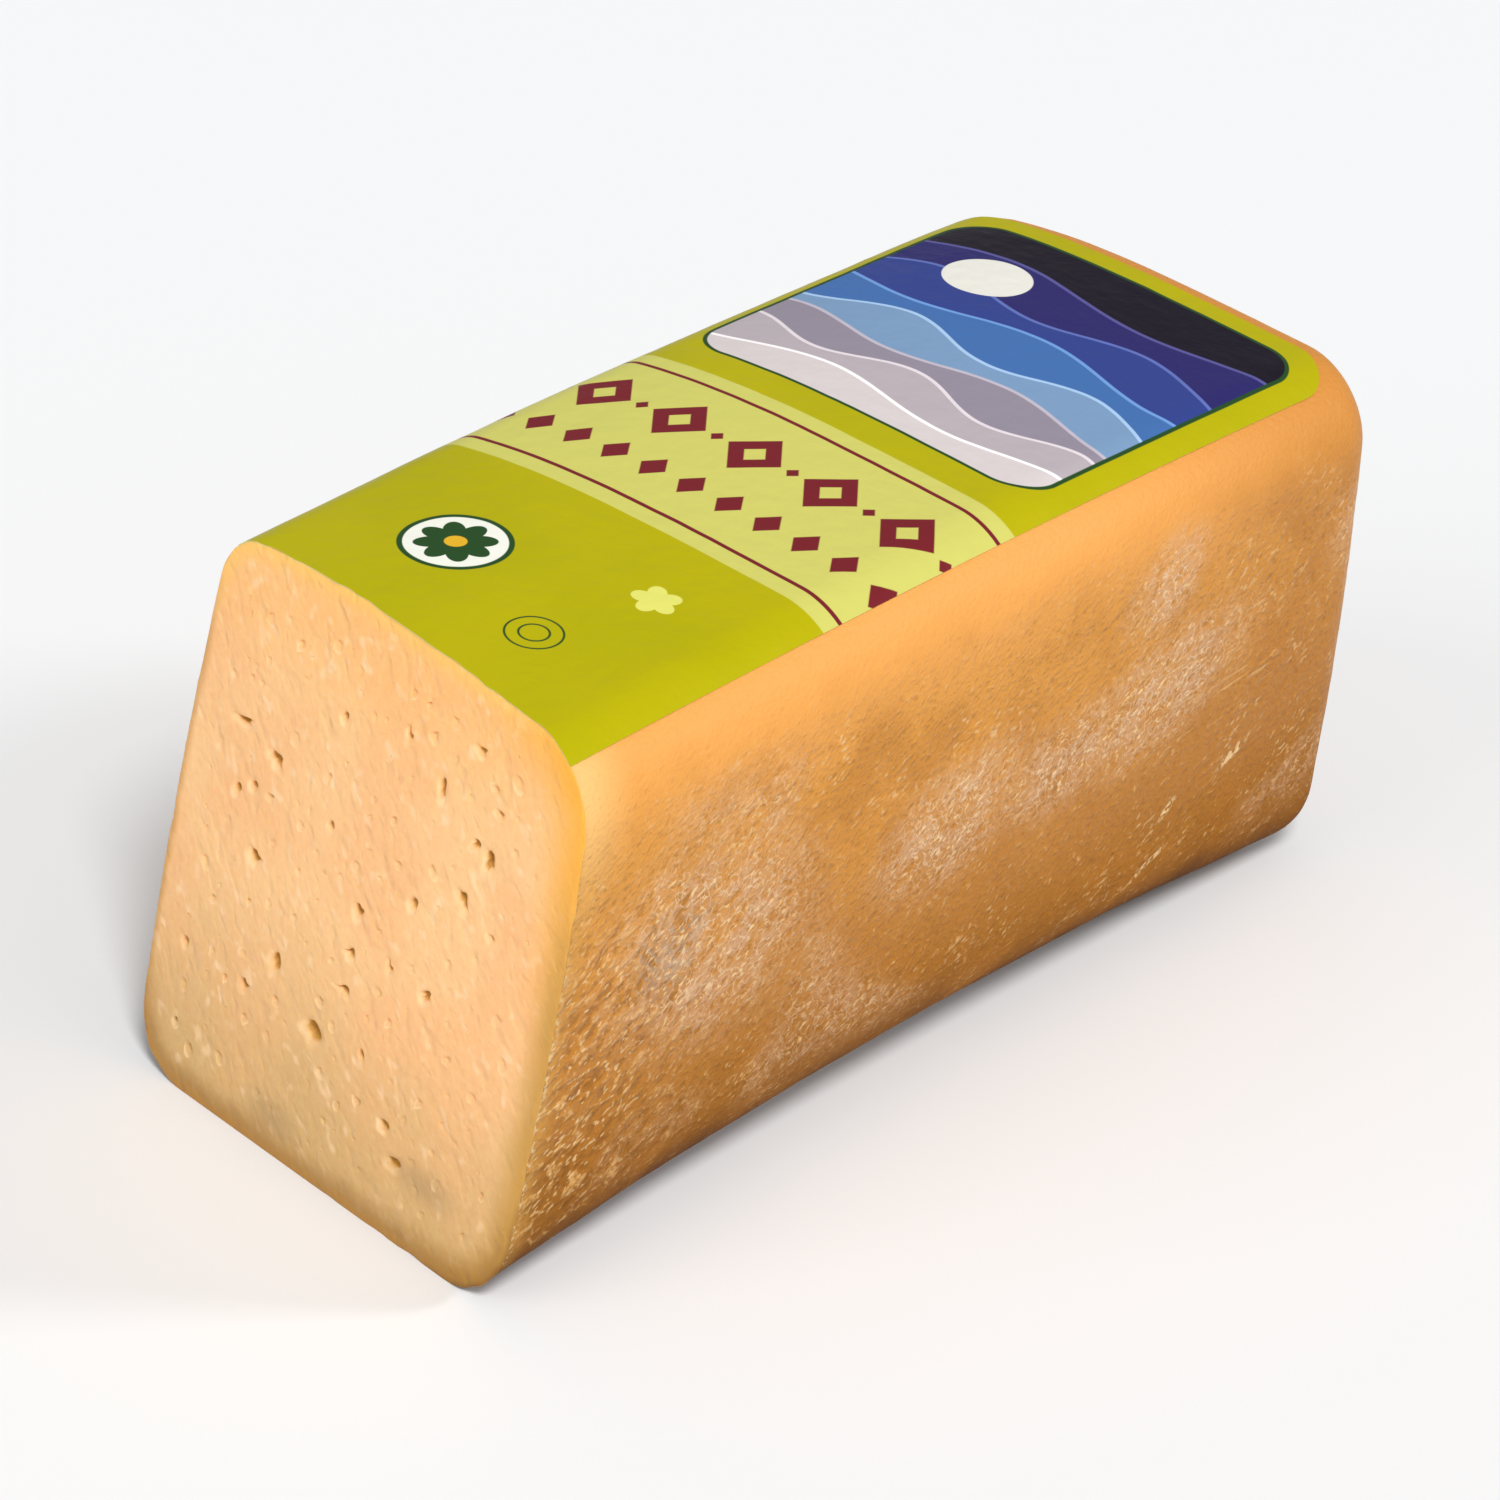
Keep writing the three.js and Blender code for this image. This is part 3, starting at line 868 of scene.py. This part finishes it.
STROKE_RISE = 28  # how steeply, in degrees, the rind's strokes rise towards the far end
STROKE_FALL = 49  # how steeply those on the cut fall towards the right
CRUMBLY_BEHIND, CRUMBLY_FOOT, CRUMBLY_TOP = (64, 8), (4, 24), (88, 60)
CALM_EDGE = (108, 86)  # the heights between which the rind's marks fade in
VALLEY_SHADE, RIDGE_HIGHLIGHTS = (0.47, 0.33), (0.54, 0.68)  # where painted shade in the valleys of the rind's relief and painted highlights on its ridges begin and are full

# How much lumps, grain and folds count in the rind's relief, and what is added to them.
COARSE_RELIEF = (0.85, 0.35, 0.85), -0.17
FINE_RELIEF = (0.29, 0.44, 0.32), 0.11
# How much grain, dips and specks count in the cut's relief.
CUT_RELIEF = (0.10, -0.15, -0.07)

# Grey-olive spots on the cut: x, z, reach across and up.
BRUISES = [(-13.6, 7.8, 6.5, 3.5), (30.1, 15.1, 7, 3)]
BRUISE_REACH, BRUISE_SOFTNESS, BRUISE_STRENGTH = 30, 0.8, 0.45

# The rind's colour by height in millimetres: partly its own tone, and partly painted light towards the top
# edge and painted shade towards the foot.
RIND_HEIGHTS = [
    (0, (110, 68, 18)),
    (13, (136, 84, 24)),
    (26, (160, 103, 32)),
    (44, (184, 121, 41)),
    (64, (200, 134, 50)),
    (84, (211, 144, 58)),
    (106, (235, 163, 82)),
]

# Bands along an edge, in the order they're laid on: how far from the edge they begin and are full, the
# heights where they begin and are full, the side, the strength and the colour.
CUT_BANDS = [
    (13, 0.5, 40, 92, "right", 0.9, (248, 176, 60)),
    (5, 0.4, 90, 106, "left", 0.7, (250, 196, 100)),
    (9, 0.5, 100, 60, "right", 0.9, (196, 148, 68)),
    # Painted shade: olive-brown towards the foot.
    (8, 0.5, 24, 4, "both", 0.85, (156, 112, 48)),
    # Painted shade: a dark brown line along the foot.
    (1.6, 0, 30, 10, "both", 0.6, (112, 70, 26)),
    # Brown along the left edge, partly the rind's edge and partly painted shade where the edge turns away.
    (3, 0.2, 105, 85, "left", 0.65, (192, 140, 66)),
]
RIND_BANDS = [
    # Painted highlight: pale cream on the rounded corner close behind the cut, towards the top.
    (16, 1, 70, 105, "both", 0.75, (244, 196, 122)),
    (7, 1, 100, 70, "both", 0.5, (206, 154, 78)),
]
BANDS_RIGHT = (20, 46)  # where their right-hand side begins and is full


def side_spot(look, y, z, along, up, slope, soft=0.5):
    """1 in the middle of a patch of the right-hand side and 0 outside it."""
    return look.spot((SIDE_X, y + SHIFT[1], z), (SIDE_REACH, along, up), slope, soft)


def edge_bands(look, distance, bands):
    """The layers of bands along an edge."""
    right = look.ramp(look.x, *BANDS_RIGHT)
    sides = {"right": right, "left": look.less(right), "both": 1.0}
    layers = []
    for begins, full, low, high, side, strength, tone in bands:
        near, level = look.ramp(distance, begins, full), look.ramp(look.z, low, high)
        layers.append((look.times(near, sides[side], level, strength), srgb(*tone)))
    return layers


def bruises(look):
    layers = []
    for x, z, wide, high in BRUISES:
        place = (x + SHIFT[0], cut_y(x, z) + SHIFT[1], z)
        bruise = look.spot(place, (wide, BRUISE_REACH, high), soft=BRUISE_SOFTNESS)
        layers.append((look.times(bruise, BRUISE_STRENGTH), srgb(160, 132, 92)))
    return layers


def paste_colour(look):
    """The cut: peach, golden close to the rind and ochre in the eyes, with painted shade making it
    olive-beige towards the base, dark along its foot and partly brown along its left edge and in the eyes'
    depths, and with painted highlights in pale dashes and on the dents' lower left lips.
    """
    cloudy = look.noise(22)
    colour = look.mix(look.ramp(cloudy, 0.35, 0.65), srgb(250, 198, 140), srgb(247, 188, 130))
    # Painted shade: olive-beige towards the base.
    lower = look.ramp(look.plus(look.z, look.times(cloudy, 30)), 70, 14)
    upper = look.ramp(look.z, 80, 112, to_high=0.7)
    grain = look.mix(look.noise(1.6, 2, roughness=0.6), srgb(206, 146, 90), srgb(255, 226, 176))
    drawn = look.mapped((1.5, 1, 1), (0, STROKE_FALL, 0))
    # Painted highlights: pale dashes like the lit sides of small dips.
    dash_highlights = look.patches(2.8, 0.58, 0.78, to_high=0.42, at=drawn)
    from_rind = look.plus(look.attribute("rim_mm"), look.times(look.noise(6), 2), -1)
    # Ochre in the eyes' depths, partly their own colour and partly painted shade.
    deep = look.ramp(look.attribute("eye_mm"), 0.4, 1.2, to_high=0.85)
    # Painted highlight on the dents' lower left lips, the side that faces the light.
    lip_highlight = look.times(look.attribute("lip_highlight"), look.patches(5, 0.35, 0.65, 0.15, 0.6))
    return look.layered(
        colour,
        (lower, srgb(201, 163, 104)),
        (upper, srgb(252, 184, 104)),
        (0.20, grain),
        (dash_highlights, srgb(255, 222, 180)),
        *bruises(look),
        *edge_bands(look, from_rind, CUT_BANDS),
        (deep, srgb(192, 140, 48)),
        (lip_highlight, srgb(255, 224, 174)),
    )


def paste_relief(look):
    """The cut's fine relief: soft dips a few millimetres wide, with grain between them."""
    drawn = look.mapped((1.6, 1, 1), (0, STROKE_FALL, 0))
    grain = look.noise(1.3, at=drawn)
    dents = look.patches(4, 0.48, 0.78, at=drawn)
    specks = look.patches(1.9, 0.54, 0.80, at=drawn)
    return look.weighted((grain, dents, specks), CUT_RELIEF)


def crumbly_part(look):
    """1 on the lower rind close behind the cut, where it's crumbly."""
    behind = look.ramp(look.attribute("behind_mm"), *CRUMBLY_BEHIND)
    return look.times(behind, look.ramp(look.z, *CRUMBLY_FOOT), look.ramp(look.z, *CRUMBLY_TOP))


def rind_relief(look, crumbly):
    """The rind's bumps, 0 to 1, drawn out along slanted strokes. They're higher where it's crumbly."""
    drawn = look.strokes(1.7, STROKE_RISE)
    lumps = look.noise(2.3, at=drawn, roughness=0.55)
    grain = look.noise(0.9, at=drawn, roughness=0.6)
    shapes = (lumps, grain, look.folds(4.2, drawn))
    fine, coarse = [look.weighted(shapes, *relief) for relief in (FINE_RELIEF, COARSE_RELIEF)]
    return look.blend(crumbly, fine, coarse)


def rind_colour(look, relief, crumbly):
    """The rind: ochre, lighter along the top edge and darker at the base, partly its own tone and partly
    painted light and shade, with painted shade in its valleys and at its foot, painted highlights on its
    ridges, in pale strokes and close behind the cut's top, and with bloom and scratches.
    """
    height = look.plus(look.z, look.times(look.noise(20), 12), -6)
    stops = [(level / HEIGHT, srgb(*tone)) for level, tone in RIND_HEIGHTS]
    colour = look.gradient(look.math("DIVIDE", height, HEIGHT), stops)
    calm = look.ramp(look.z, *CALM_EDGE)
    far = look.times(look.ramp(look.y, 20, 130), look.ramp(look.z, 80, 100, 0.35, 0.6))
    far_tone = look.mix(calm, srgb(190, 120, 36), srgb(158, 98, 28))
    cloudy = look.times(look.patches(15, 0.42, 0.68, detail=2), calm, 0.45)
    # Painted shade in the relief's valleys and painted highlights on its ridges.
    valley_shade = look.times(look.ramp(relief, *VALLEY_SHADE), calm, look.blend(crumbly, 0.28, 0.44))
    ridges = look.times(look.ramp(relief, *RIDGE_HIGHLIGHTS), calm, look.patches(1.1, 0.36, 0.60, 0.1, 0.55))
    haze = bloom(look)
    # Painted shade: dark brown along the foot, where the rounded underside turns from the light.
    foot = look.ramp(height, 19, 2, to_high=0.8)
    return look.layered(
        colour,
        (far, far_tone),
        (cloudy, srgb(176, 112, 34)),
        (valley_shade, srgb(124, 74, 24)),
        (ridges, srgb(230, 182, 116)),
        *haze_layers(look, relief, haze),
        (glints_and_scratches(look, crumbly, haze), srgb(240, 208, 154)),
        *edge_bands(look, look.attribute("behind_mm"), RIND_BANDS),
        (foot, srgb(70, 36, 9)),
        (crumbs(look), srgb(232, 208, 160)),
    )


def bloom(look):
    """Where the right-hand side has pale bloom: in patches and, more faintly, in drifts."""
    spots = [side_spot(look, *patch, BLOOM_SOFTNESS) for patch in BLOOM_PATCHES]
    drift = look.times(look.patches(40, 0.50, 0.66), look.ramp(look.z, 12, 30), 0.6)
    return look.most(*spots, look.times(drift, look.ramp(look.z, 100, 85)))


def haze_layers(look, relief, haze):
    """The bloom's layers: a streaky veil, a web of pale lines and grey middles."""
    streaky = look.patches(5, 0.34, 0.62, 0.3, at=look.strokes(2.4, STROKE_RISE))
    veil = look.times(haze, look.ramp(relief, 0.36, 0.54), streaky, 0.5)
    web = look.times(look.ramp(look.folds(2.4), 0.030, 0.008), haze, 0.5)
    layers = [(veil, srgb(208, 172, 142)), (web, srgb(234, 206, 168))]
    flecked = look.patches(1.5, 0.44, 0.58)
    for centre in GREY_CENTRES:
        grey = look.times(side_spot(look, *centre), flecked, 0.45)
        layers.append((grey, srgb(150, 132, 114)))
    return layers


def glints_and_scratches(look, crumbly, haze):
    """Painted highlights as small pale strokes in clusters, with long scratches near the far end and a few
    scrapes.
    """
    clusters = look.patches(13, 0.46, 0.64, to_high=0.5)
    where = look.most(clusters, look.times(crumbly, 0.8), look.times(haze, 0.9))
    height = look.times(look.ramp(look.z, 106, 90), look.ramp(look.z, 6, 24))
    # Painted glints: small pale strokes.
    strokes = look.patches(0.9, 0.60, 0.70, at=look.strokes(2.2, STROKE_RISE))
    scratches = look.patches(0.8, 0.60, 0.72, at=look.strokes(18, SCRATCH_RISE))
    faded = look.times(side_spot(look, *SCRATCHED), look.patches(7, 0.4, 0.65), 0.5)
    broken = look.patches(1.3, 0.42, 0.55)
    scrapes = [look.times(side_spot(look, *scrape), broken) for scrape in SCRAPES]
    total = look.most(look.times(strokes, where, height), look.times(scratches, faded), *scrapes)
    return look.times(total, 0.75)


def crumbs(look):
    """A pale, broken line on the rind's side of the cut's lower right edge."""
    near = look.times(look.ramp(look.attribute("behind_mm"), 2.6, 0.4), look.ramp(look.x, 36, 48))
    height = look.times(look.ramp(look.z, 80, 60), look.ramp(look.z, 6, 14))
    return look.times(near, height, look.patches(0.9, 0.48, 0.60), 0.7)


def cheese_roughness(look, on_cut, crumbly):
    """The rind shines a little less towards the top and hardly at all near its foot."""
    plain = look.ramp(look.z, 82, 106, 0.40, 0.48)
    foot = look.ramp(look.z, 46, 16, to_high=0.55)
    return look.blend(on_cut, look.plus(plain, look.times(crumbly, -0.08), foot), 0.46)


def cheese_material():
    look = Look("cheese")
    on_cut = look.attribute("on_cut")
    crumbly = crumbly_part(look)
    relief = rind_relief(look, crumbly)
    calm = look.ramp(look.z, 110, 86, to_low=0.3)
    height = look.blend(on_cut, look.times(relief, calm), paste_relief(look))
    return look.finish(
        Base_Color=look.mix(on_cut, rind_colour(look, relief, crumbly), paste_colour(look)),
        Roughness=cheese_roughness(look, on_cut, crumbly),
        Normal=look.bump(height, 1.5),
        Subsurface_Weight=look.times(on_cut, 0.4),
        Subsurface_Radius=(1, 0.5, 0.22),
        Subsurface_Scale=0.0010,
        Specular_IOR_Level=0.16,
    )


# ---- the label's print

# In millimetres, across from the label's middle line and back from its far edge.
GREEN = srgb(38, 74, 34)
MAROON = srgb(118, 32, 40)
CREAM = srgb(206, 203, 104)
PANEL_BACK, PANEL_FRONT = 6.5, 100
PANEL_HALF_WIDTH = 42.5
PANEL_RADIUS = 9
PANEL_LINE = 0.9
BAND_BACK, BAND_FRONT = 110, 168
BAND_MARGIN, BAND_LINE = 5, 1.1
WAVES = [  # where the wave runs, its height, its length, its phase and the colour in front of it
    (22, 3, 70, 0.4, (44, 40, 104)),
    (36, 3.4, 52, 2, (50, 66, 138)),
    (48, 3.2, 62, 4.1, (66, 110, 172)),
    (60, 3.6, 46, 1.1, (122, 154, 190)),
    (71, 3, 56, 3, (146, 138, 152)),
    (81, 3.4, 42, 5, (182, 172, 178)),
    (91, 2.6, 60, 0, (214, 204, 204)),
]
CREST_HALF, CREST_LIGHT = 0.5, 46  # a crest is twice as wide and this much lighter
LOZENGES = [  # where the row runs, its period, their half width and half length, their shift and colour
    (131, 19, 6.6, 8.5, 0, MAROON),
    (131, 19, 2.6, 3.4, 0, CREAM),
    (131, 19, 1.5, 1.9, 9.5, MAROON),
    (150, 9.5, 3, 4.4, 0, MAROON),
]
DISC = (-21, 30, 9.5)  # across, back and radius
SEAL_PLACE, SEAL_RADIUS = (-15, 200), 11
STAMP_PLACE, STAMP_RADII = (17, 214), (5.5, 2.9)
FLOWER = (24, 188, 5, 5, 1.8)  # across, back, radius, petals and their depth


class Print(Look):
    """A material with flat shapes: each is 1 inside, 0 outside, with an edge as crisp as print."""

    EDGE = 0.14

    def __init__(self, name):
        super().__init__(name)
        self.across, self.back, _ = self.split(self.attribute("print_mm", "Vector"))

    def within(self, distance, limit=0):
        return self.ramp(distance, limit + self.EDGE, limit - self.EDGE)

    def away(self, across, back):
        sideways = self.math("SUBTRACT", self.across, across)
        return sideways, self.math("SUBTRACT", self.back, back)

    def reach(self, across, back):
        """Distance from a point."""
        return self.diagonal(*self.away(across, back))

    def disc(self, across, back, radius):
        return self.within(self.reach(across, back), radius)

    def ring(self, across, back, radius, line):
        return self.within(self.apart(self.reach(across, back), radius), line / 2)

    def stripe(self, back, line):
        return self.within(self.apart(self.back, back), line / 2)

    def rounded_box(self, half_width, back_from, back_to, radius):
        along = self.apart(self.back, (back_from + back_to) / 2)
        over = [
            self.plus(self.math("ABSOLUTE", self.across), radius - half_width),
            self.plus(along, radius - (back_to - back_from) / 2),
        ]
        outer = self.diagonal(*[self.most(side, 0) for side in over])
        inner = self.math("MINIMUM", self.most(*over), 0)
        return self.within(self.plus(outer, inner), radius)

    def lozenges(self, back, period, half_across, half_along, shift):
        """A row of lozenges across the label."""
        place = self.math("WRAP", self.plus(self.across, shift), period / 2, -period / 2)
        off = (self.math("ABSOLUTE", place), self.apart(self.back, back))
        slope = self.weighted(off, (1 / half_across, 1 / half_along), -1)
        return self.within(self.times(slope, half_across * 0.7))

    def rosette(self, across, back, radius, petals, depth):
        """A round flower whose rim goes in and out."""
        turn = self.times(self.math("ARCTAN2", *self.away(across, back)), petals / 2)
        lobe = self.times(self.math("ABSOLUTE", self.math("COSINE", turn)), depth)
        return self.within(self.math("SUBTRACT", self.reach(across, back), lobe), radius - depth)

    def past_wave(self, back, height, length, phase):
        """1 on the cut's side of a wavy line across the label."""
        turn = self.plus(self.times(self.across, 2 * math.pi / length), phase)
        wave = self.times(self.math("SINE", turn), height)
        return self.within(self.math("SUBTRACT", self.plus(wave, back), self.back))


def panel_print(look):
    """A dark rounded panel with light-crested waves, ever paler towards the cut, and a disc."""
    layers = []
    for back, *form, tone in WAVES:
        light = [min(255, level + CREST_LIGHT) for level in tone]
        layers.append((look.past_wave(back - CREST_HALF, *form), srgb(*light)))
        layers.append((look.past_wave(back + CREST_HALF, *form), srgb(*tone)))
    panel = look.layered(srgb(26, 20, 34), *layers, (look.disc(*DISC), srgb(232, 230, 220)))
    half, line = PANEL_HALF_WIDTH, PANEL_LINE
    edge = look.rounded_box(half + line, PANEL_BACK - line, PANEL_FRONT + line, PANEL_RADIUS + line)
    return [(edge, GREEN), (look.rounded_box(half, PANEL_BACK, PANEL_FRONT, PANEL_RADIUS), panel)]


def band_print(look):
    middle, width = (BAND_BACK + BAND_FRONT) / 2, BAND_FRONT - BAND_BACK
    layers = [(look.stripe(middle, width), CREAM)]
    for line_back in (BAND_BACK + BAND_MARGIN, BAND_FRONT - BAND_MARGIN):
        layers.append((look.stripe(line_back, BAND_LINE), MAROON))
    for *form, tone in LOZENGES:
        layers.append((look.lozenges(*form), tone))
    return layers


def seal_print(look):
    """A round seal, a stamp of two rings and a flower."""
    layers = [
        (look.disc(*SEAL_PLACE, SEAL_RADIUS), GREEN),
        (look.disc(*SEAL_PLACE, SEAL_RADIUS - 1.1), srgb(240, 240, 228)),
        (look.rosette(*SEAL_PLACE, SEAL_RADIUS - 3, 8, 2.4), GREEN),
        (look.disc(*SEAL_PLACE, 2.2), srgb(226, 176, 40)),
    ]
    for radius in STAMP_RADII:
        layers.append((look.ring(*STAMP_PLACE, radius, 0.45), GREEN))
    return layers + [(look.rosette(*FLOWER), srgb(224, 222, 110))]


def label_material():
    """Lime green paper with its print above, and plain paper below."""
    look = Print("label")
    ground = look.mix(look.patches(30, 0.3, 0.7), srgb(181, 172, 4), srgb(176, 169, 2))
    layers = [*panel_print(look), *band_print(look), *seal_print(look)]
    upper = look.ramp(look.attribute("upper_side"), 0.55, 0.95)
    return look.finish(
        Base_Color=look.mix(upper, srgb(216, 206, 146), look.layered(ground, *layers)),
        Roughness=look.plus(0.34, look.times(look.noise(9, 2), 0.12)),
        Normal=look.bump(look.noise(5, 2), 0.3),
        Specular_IOR_Level=0.08,
    )


# ---- stage

CAMERA_PLACE = Vector((786.4, -1072.8, 770.8)) * MM
CAMERA_AIM = Vector((1.1, -4.7, 50.2)) * MM
CAMERA_ROLL = math.radians(6.14)
CAMERA_LENS = 184.8
SENSOR = 36
SKY_STRENGTH = 0.33
FLOOR_METRES = 30
LAMPS = [  # name, azimuth and elevation in degrees, strength, and spread in degrees
    ("key", 48, 50, 2.2, 16),
    ("front", -15, 30, 0.6, 40),
    ("back", 138, 30, 0.9, 12),
]


def aimed(data, place, aim, roll=0):
    """A camera or lamp at a place, turned towards another."""
    thing = bpy.data.objects.new(data.name, data)
    thing.location = place
    thing.rotation_mode = "QUATERNION"
    thing.rotation_quaternion = (aim - place).to_track_quat("-Z", "Y") @ Quaternion((0, 0, 1), roll)
    bpy.context.scene.collection.objects.link(thing)
    return thing


def make_camera():
    data = bpy.data.cameras.new("camera")
    data.sensor_width = SENSOR
    data.lens = CAMERA_LENS
    bpy.context.scene.camera = aimed(data, CAMERA_PLACE, CAMERA_AIM, CAMERA_ROLL)


def soft_light(name, azimuth, elevation, strength, spread):
    """A far, broad lamp. Azimuth 0 shines from the -Y side and 90 from the +X side."""
    data = bpy.data.lights.new(name, "SUN")
    data.energy = strength
    data.angle = math.radians(spread)
    around, up = math.radians(azimuth), math.radians(elevation)
    away = Vector((math.sin(around) * math.cos(up), -math.cos(around) * math.cos(up), math.sin(up)))
    aimed(data, away, Vector())


def make_studio():
    scene = bpy.context.scene
    scene.view_settings.view_transform = "Standard"
    world = bpy.data.worlds.new("studio")
    world.use_nodes = True
    sky = world.node_tree.nodes["Background"]
    sky.inputs["Color"].default_value = (1, 1, 1, 1)
    sky.inputs["Strength"].default_value = SKY_STRENGTH
    scene.world = world
    for lamp in LAMPS:
        soft_light(*lamp)
    bpy.ops.mesh.primitive_plane_add(size=FLOOR_METRES, location=(0, 0, 0))
    floor = bpy.context.object
    floor.name = "floor"
    floor.data.materials.append(Look("floor").finish(Base_Color=srgb(239, 240, 241), Roughness=0.7))


# ---- the whole

make_camera()
make_studio()

cheese = make_cheese()
cheese.data.materials.clear()
cheese.data.materials.append(cheese_material())
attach(cheese, "root")
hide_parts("cheese")

label = make_label()
label.data.materials.append(label_material())
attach(label, "root")
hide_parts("label")
